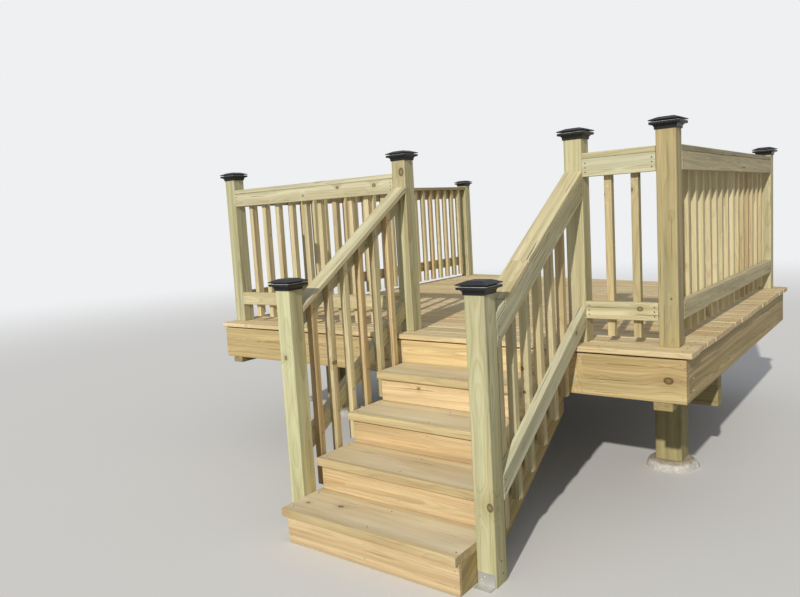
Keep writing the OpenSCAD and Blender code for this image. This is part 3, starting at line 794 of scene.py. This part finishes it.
def cast_footings():
    """Footings poured in the ground: a disc whose rim is uneven and slumps outwards.

    A point's radius is the disc's, times its share, less a sum of sines of its angle
    that grows towards the rim; its height falls from the level seat to the ground.
    """
    share = np.array([0.001, 0.45, 0.71, 0.80, 0.88, 0.95, 0.99, 1.0])[:, None]
    level = np.array([1.0, 1.0, 1.0, 0.93, 0.78, 0.52, 0.25, 0.0])[:, None]
    angle = np.radians(np.arange(0, 360, 5))
    parts, faces = [], []
    for low, high in solids("footings"):
        radius, tall = (high[0] - low[0]) / 2, high[2] - low[2]
        phase = rng.uniform(0, 2 * math.pi, 4)
        wave = sum(0.25 * np.sin(turns * angle + start) for turns, start in zip((2, 3, 5, 9), phase))
        rough = rng.uniform(0, 1, (len(share), len(angle)))
        out = radius * share * (1 - 0.12 * share ** 6 * (0.5 + 0.5 * wave) - 0.015 * share ** 8 * rough)
        up = tall * level * (1 - (share > 0.75) * (0.08 + 0.08 * np.roll(wave, 9) + 0.10 * rough))
        middle = (low + high) / 2
        base = sum(len(p) for p in parts)
        parts.append(np.stack([middle[0] + out * np.cos(angle), middle[1] + out * np.sin(angle), up + low[2]],
                              -1).reshape(-1, 3))
        quads, caps = tube_faces(len(share), len(angle))
        faces += (quads[:, ::-1] + base).tolist() + [(c[::-1] + base).tolist() for c in caps]
    mesh = bpy.data.meshes.new("cast_footings")
    mesh.from_pydata(np.concatenate(parts).tolist(), [], faces)
    place_piece("cast_footings", mesh, concrete, ["footings"])


moulded_caps()
cast_footings()
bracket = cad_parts["post_foot_bracket"]
bracket.data.materials.clear()
bracket.data.materials.append(zinc)


# Fasteners

SCREW = (0.0036, 0.0010)    # radius and height of a deck screw's head
BRIGHT_NAIL = (0.0045, 0.0015)
FINISHING_NAIL = (0.0022, 0.0006)
STRAY = 0.003               # usual distance of a fastener from its line
STRINGER_LINES = (stair_l + 0.03, stair_mid, stair_r - 0.019)

# Places of single fasteners that the photograph shows
POST_FOOT_YZ = ((-1.978, 0.097), (-1.969, 0.043))
TOP_RISER_XZ = ((0.121, 0.719), (0.327, 0.719))
FRONT_RIM_XZ = ((1.001, 0.626), (1.001, 0.645))
SIDE_RIM_YZ = ((-1.025, 0.612), (-1.025, 0.668))
BRACKET_XZ = ((0.964, 0.020), (0.979, 0.036))
BRACKET_PLATE = 0.003


def heads(name, spots, size, material):
    """Screw or nail heads: a low dome with a dimple, turned around each spot's normal.

    Each spot is a point and the outward normal of the face that the head sits on.
    """
    radius, tall = size
    out = radius * np.array([1.0, 1.0, 0.75, 0.40, 0.28])[:, None]
    up = tall * np.array([-0.5, 0.4, 1.0, 1.0, 0.3])[:, None]
    angle = np.radians(np.arange(0, 360, 45))
    disc = np.stack([out * np.cos(angle), out * np.sin(angle), up + 0 * angle], -1).reshape(-1, 3)
    quads, caps = tube_faces(len(up), len(angle))
    points = np.array([spot[0] for spot in spots])
    normal = np.array([spot[1] for spot in spots])
    helper = np.where(np.abs(normal[:, :1]) > 0.8, Y, X)
    side = np.cross(helper, normal)
    side /= np.linalg.norm(side, axis=1, keepdims=True)
    basis = np.stack([side, np.cross(normal, side), normal], 1)
    co = np.einsum("kc,nca->nka", disc, basis) + points[:, None]
    base = (np.arange(len(points)) * len(disc))[:, None, None]
    faces = (quads + base).reshape(-1, 4).tolist()
    for cap in caps:
        faces += (cap + base[:, 0]).tolist()
    mesh = bpy.data.meshes.new(name)
    mesh.from_pydata(co.reshape(-1, 3).tolist(), [], faces)
    return place_piece(name, mesh, material)


def decking_screws():
    """Two screws through each deck board into every joist and rim that it crosses."""
    lines = [(low[0] + high[0]) / 2 for low, high in solids("joists")]
    lines += [(left_rim_low[0] + left_rim_high[0]) / 2, (right_rim_low[0] + right_rim_high[0]) / 2]
    edge_in, wall_in, stray_y = 0.028, 0.03, 0.002
    spots = []
    for low, high in solids("decking_boards"):
        for x in lines:
            wall = ledger_high[1] - (x - ledger_low[0]) * wall_slope - WALL_GAP
            back = min(high[1], wall)
            if back - low[1] < 2 * edge_in:
                continue
            for y in (low[1] + edge_in, min(high[1] - edge_in, wall - wall_in)):
                spots.append(((x + rng.normal(0, STRAY), y + rng.normal(0, stray_y), deck_top), Z))
    return spots


def stair_screws():
    """Screws of the treads into the three stringers, and of the posts into the side ones."""
    front_in, back_in = 0.045, 0.06
    spots = []
    for low, high in treads:
        for x in STRINGER_LINES:
            spots += [((x + rng.normal(0, STRAY), y, high[2]), Z)
                      for y in (low[1] + front_in, high[1] - back_in)]
    left_face = box_of("bottom_post_left")[0][0]
    for y, z in POST_FOOT_YZ:
        spots += [((stair_side_face, y, z), X), ((left_face, y, z), -X)]
    return spots


def rim_end_nails():
    """Small nails through the front rim into the ends of the side rims."""
    half = (right_rim_high[0] - right_rim_low[0]) / 2
    tall = rim_high[2] - rim_low[2]
    return [((x + rng.normal(0, STRAY), rim_low[1], rim_low[2] + share * tall), -Y)
            for x in (rim_low[0] + half, rim_high[0] - half) for share in (0.15, 0.5, 0.85)]


def riser_nails():
    """Small finishing nails of the risers, in pairs over the stringers, and two in the top riser."""
    below, above = 0.03, 0.035
    spots = []
    for low, high in risers:
        middle = (low[2] + high[2]) / 2
        for x in STRINGER_LINES:
            spots += [((x + rng.normal(0, STRAY), low[1], z), -Y) for z in (middle - below, middle + above)]
    return spots + [((x, rim_low[1], z), -Y) for x, z in TOP_RISER_XZ]


def raked_middle(rail, y):
    """Height of a raked rail's middle line at y, from the rail's box."""
    low, high = rail
    plumb = high[2] - low[2] - (high[1] - low[1]) * slope
    return low[2] + plumb / 2 + (y - low[1]) * slope


def rail_screws():
    """Screws at each end of every rail, through its outer face: three in the front rails, else two."""
    in_from_end, apart = 0.016, 0.021
    spots = []
    for panel in ("front_left", "front_right"):
        for low, high in solids(panel + "_rails"):
            middle = (low[2] + high[2]) / 2
            spots += [((x, low[1], z), -Y) for x in (low[0] + in_from_end, high[0] - in_from_end)
                      for z in (middle - apart, middle, middle + apart)]
    for panel, side in (("left_side", -1), ("right_side", 1)):
        for low, high in solids(panel + "_rails"):
            middle = (low[2] + high[2]) / 2
            face = high[0] if side > 0 else low[0]
            spots += [((face, y, z), side * X) for y in (low[1] + in_from_end, high[1] - in_from_end)
                      for z in (middle - apart, middle + apart)]
    for panel, side in (("stair_left", -1), ("stair_right", 1)):
        for low, high in solids(panel + "_rails"):
            face = high[0] if side > 0 else low[0]
            for y in (low[1] + in_from_end, high[1] - in_from_end):
                middle = raked_middle((low, high), y)
                spots += [((face, y, middle + z), side * X) for z in (-apart, apart)]
    return spots


def baluster_screws():
    """A screw through each baluster into the top rail and one into the bottom rail, from inside."""
    stray_z = 0.006
    spots = []
    for panel, inward in (("front_left", Y), ("front_right", Y), ("left_side", X), ("right_side", -X)):
        rails = [(low[2] + high[2]) / 2 for low, high in solids(panel + "_rails")]
        for low, high in solids(panel + "_balusters"):
            middle = (low + high) / 2
            reach = (high - low)[0] / 2
            for z in (min(rails), max(rails)):
                at = np.array([middle[0], middle[1], z + rng.normal(0, stray_z)]) + inward * reach
                spots.append((tuple(at), inward))
    for panel, inward in (("stair_left", X), ("stair_right", -X)):
        rails = solids(panel + "_rails")
        for low, high in solids(panel + "_balusters"):
            middle = (low + high) / 2
            for rail in rails:
                at = np.array([middle[0], middle[1], raked_middle(rail, middle[1])])
                spots.append((tuple(at + inward * (high - low)[0] / 2), inward))
    return spots


def rim_nails():
    """Bright nails: two in the front rim beside the stairs, two in each side rim, two in the bracket."""
    spots = [((x, rim_low[1], z), -Y) for x, z in FRONT_RIM_XZ]
    spots += [((right_rim_high[0], y, z), X) for y, z in SIDE_RIM_YZ]
    spots += [((left_rim_low[0], y, z), -X) for y, z in SIDE_RIM_YZ]
    return spots + [((x, stair_face - BRACKET_PLATE, z), -Y) for x, z in BRACKET_XZ]


screws = decking_screws() + stair_screws() + rail_screws() + baluster_screws()
heads("screw_heads", screws, SCREW, screw_steel)
heads("nail_heads", rim_nails(), BRIGHT_NAIL, zinc)
heads("finishing_nails", rim_end_nails() + riser_nails(), FINISHING_NAIL, screw_steel)


# Floor, lights and camera

def floor():
    """A wide pale floor that fades into the background far from the object.

    It throws back less light than it shows, and a camera below it sees through it.
    """
    far, fade_from, fade_to = 60.0, 5.0, 14.0
    mesh = bpy.data.meshes.new("floor")
    mesh.from_pydata([(-far, -far, 0), (far, -far, 0), (far, far, 0), (-far, far, 0)], [], [(0, 1, 2, 3)])
    g = Graph("Pale floor")
    reach = g.node("VectorMath", g.node("TexCoord").outputs["Object"], operation="LENGTH").outputs["Value"]
    seen = g.node("LightPath").outputs["Is Camera Ray"]
    g.put(g.shader.inputs["Base Color"], g.mix(seen, (0.34, 0.33, 0.31), (0.72, 0.715, 0.70)))
    g.put(g.shader.inputs["Roughness"], 0.85)
    glow = g.node("Emission", (0.86, 0.87, 0.88), 1.0)
    blend = g.node("MixShader", g.ramp(reach, fade_from, fade_to), g.shader.outputs[0], glow.outputs[0])
    below = g.node("NewGeometry").outputs["Backfacing"]
    clear = g.node("MixShader", below, blend.outputs[0], g.node("BsdfTransparent").outputs[0])
    g.put(g.nodes["Material Output"].inputs["Surface"], clear.outputs[0])
    mesh.materials.append(g.material)
    plane = bpy.data.objects.new("floor", mesh)
    bpy.context.scene.collection.objects.link(plane)


def lights():
    """A broad sun from the front and a pale surround."""
    world = bpy.data.worlds.new("Surround")
    bpy.context.scene.world = world
    world.use_nodes = True
    nodes, links = world.node_tree.nodes, world.node_tree.links
    surround = nodes["Background"]
    surround.inputs[0].default_value = (0.86, 0.90, 0.96, 1)
    surround.inputs[1].default_value = 0.43
    seen = nodes.new("ShaderNodeBackground")
    seen.inputs[0].default_value = (0.86, 0.87, 0.88, 1)
    path = nodes.new("ShaderNodeLightPath")
    blend = nodes.new("ShaderNodeMixShader")
    links.new(path.outputs["Is Camera Ray"], blend.inputs[0])
    links.new(surround.outputs[0], blend.inputs[1])
    links.new(seen.outputs[0], blend.inputs[2])
    links.new(blend.outputs[0], nodes["World Output"].inputs[0])
    lamp = bpy.data.lights.new("sun", "SUN")
    lamp.energy = 2.95
    lamp.angle = math.radians(1.2)
    lamp.color = (1.0, 0.955, 0.89)
    sun = bpy.data.objects.new("sun", lamp)
    azimuth, height = math.radians(13), math.radians(29.5)
    towards = Vector((math.sin(azimuth) * math.cos(height), -math.cos(azimuth) * math.cos(height),
                      math.sin(height)))
    sun.rotation_euler = towards.to_track_quat("Z", "Y").to_euler()
    bpy.context.scene.collection.objects.link(sun)


def camera():
    """The photograph's viewpoint: a level view along +Y, turned by yaw, dip and roll."""
    place = Vector((2.3601, -4.3366, 1.4799))
    yaw, dip, roll = (math.radians(a) for a in (38.469, 6.380, -3.600))
    focal_px, middle_x, middle_y = 712.5, 376.2, 295.2
    wide, high = 800, 597
    ahead = Vector((-math.sin(yaw) * math.cos(dip), math.cos(yaw) * math.cos(dip), -math.sin(dip)))
    right = Vector((math.cos(yaw), math.sin(yaw), 0))
    up = right.cross(ahead)
    right_rolled = right * math.cos(roll) + up * math.sin(roll)
    up_rolled = -right * math.sin(roll) + up * math.cos(roll)
    data = bpy.data.cameras.new("camera")
    data.sensor_width = 36
    data.lens = focal_px * data.sensor_width / wide
    data.shift_x = (wide / 2 - middle_x) / wide
    data.shift_y = (middle_y - high / 2) / wide
    eye = bpy.data.objects.new("camera", data)
    eye.matrix_world = Matrix.Translation(place) @ Matrix(
        (right_rolled, up_rolled, -ahead)).transposed().to_4x4()
    bpy.context.scene.collection.objects.link(eye)
    bpy.context.scene.camera = eye


floor()
lights()
camera()
bpy.context.scene.view_settings.view_transform = "Standard"
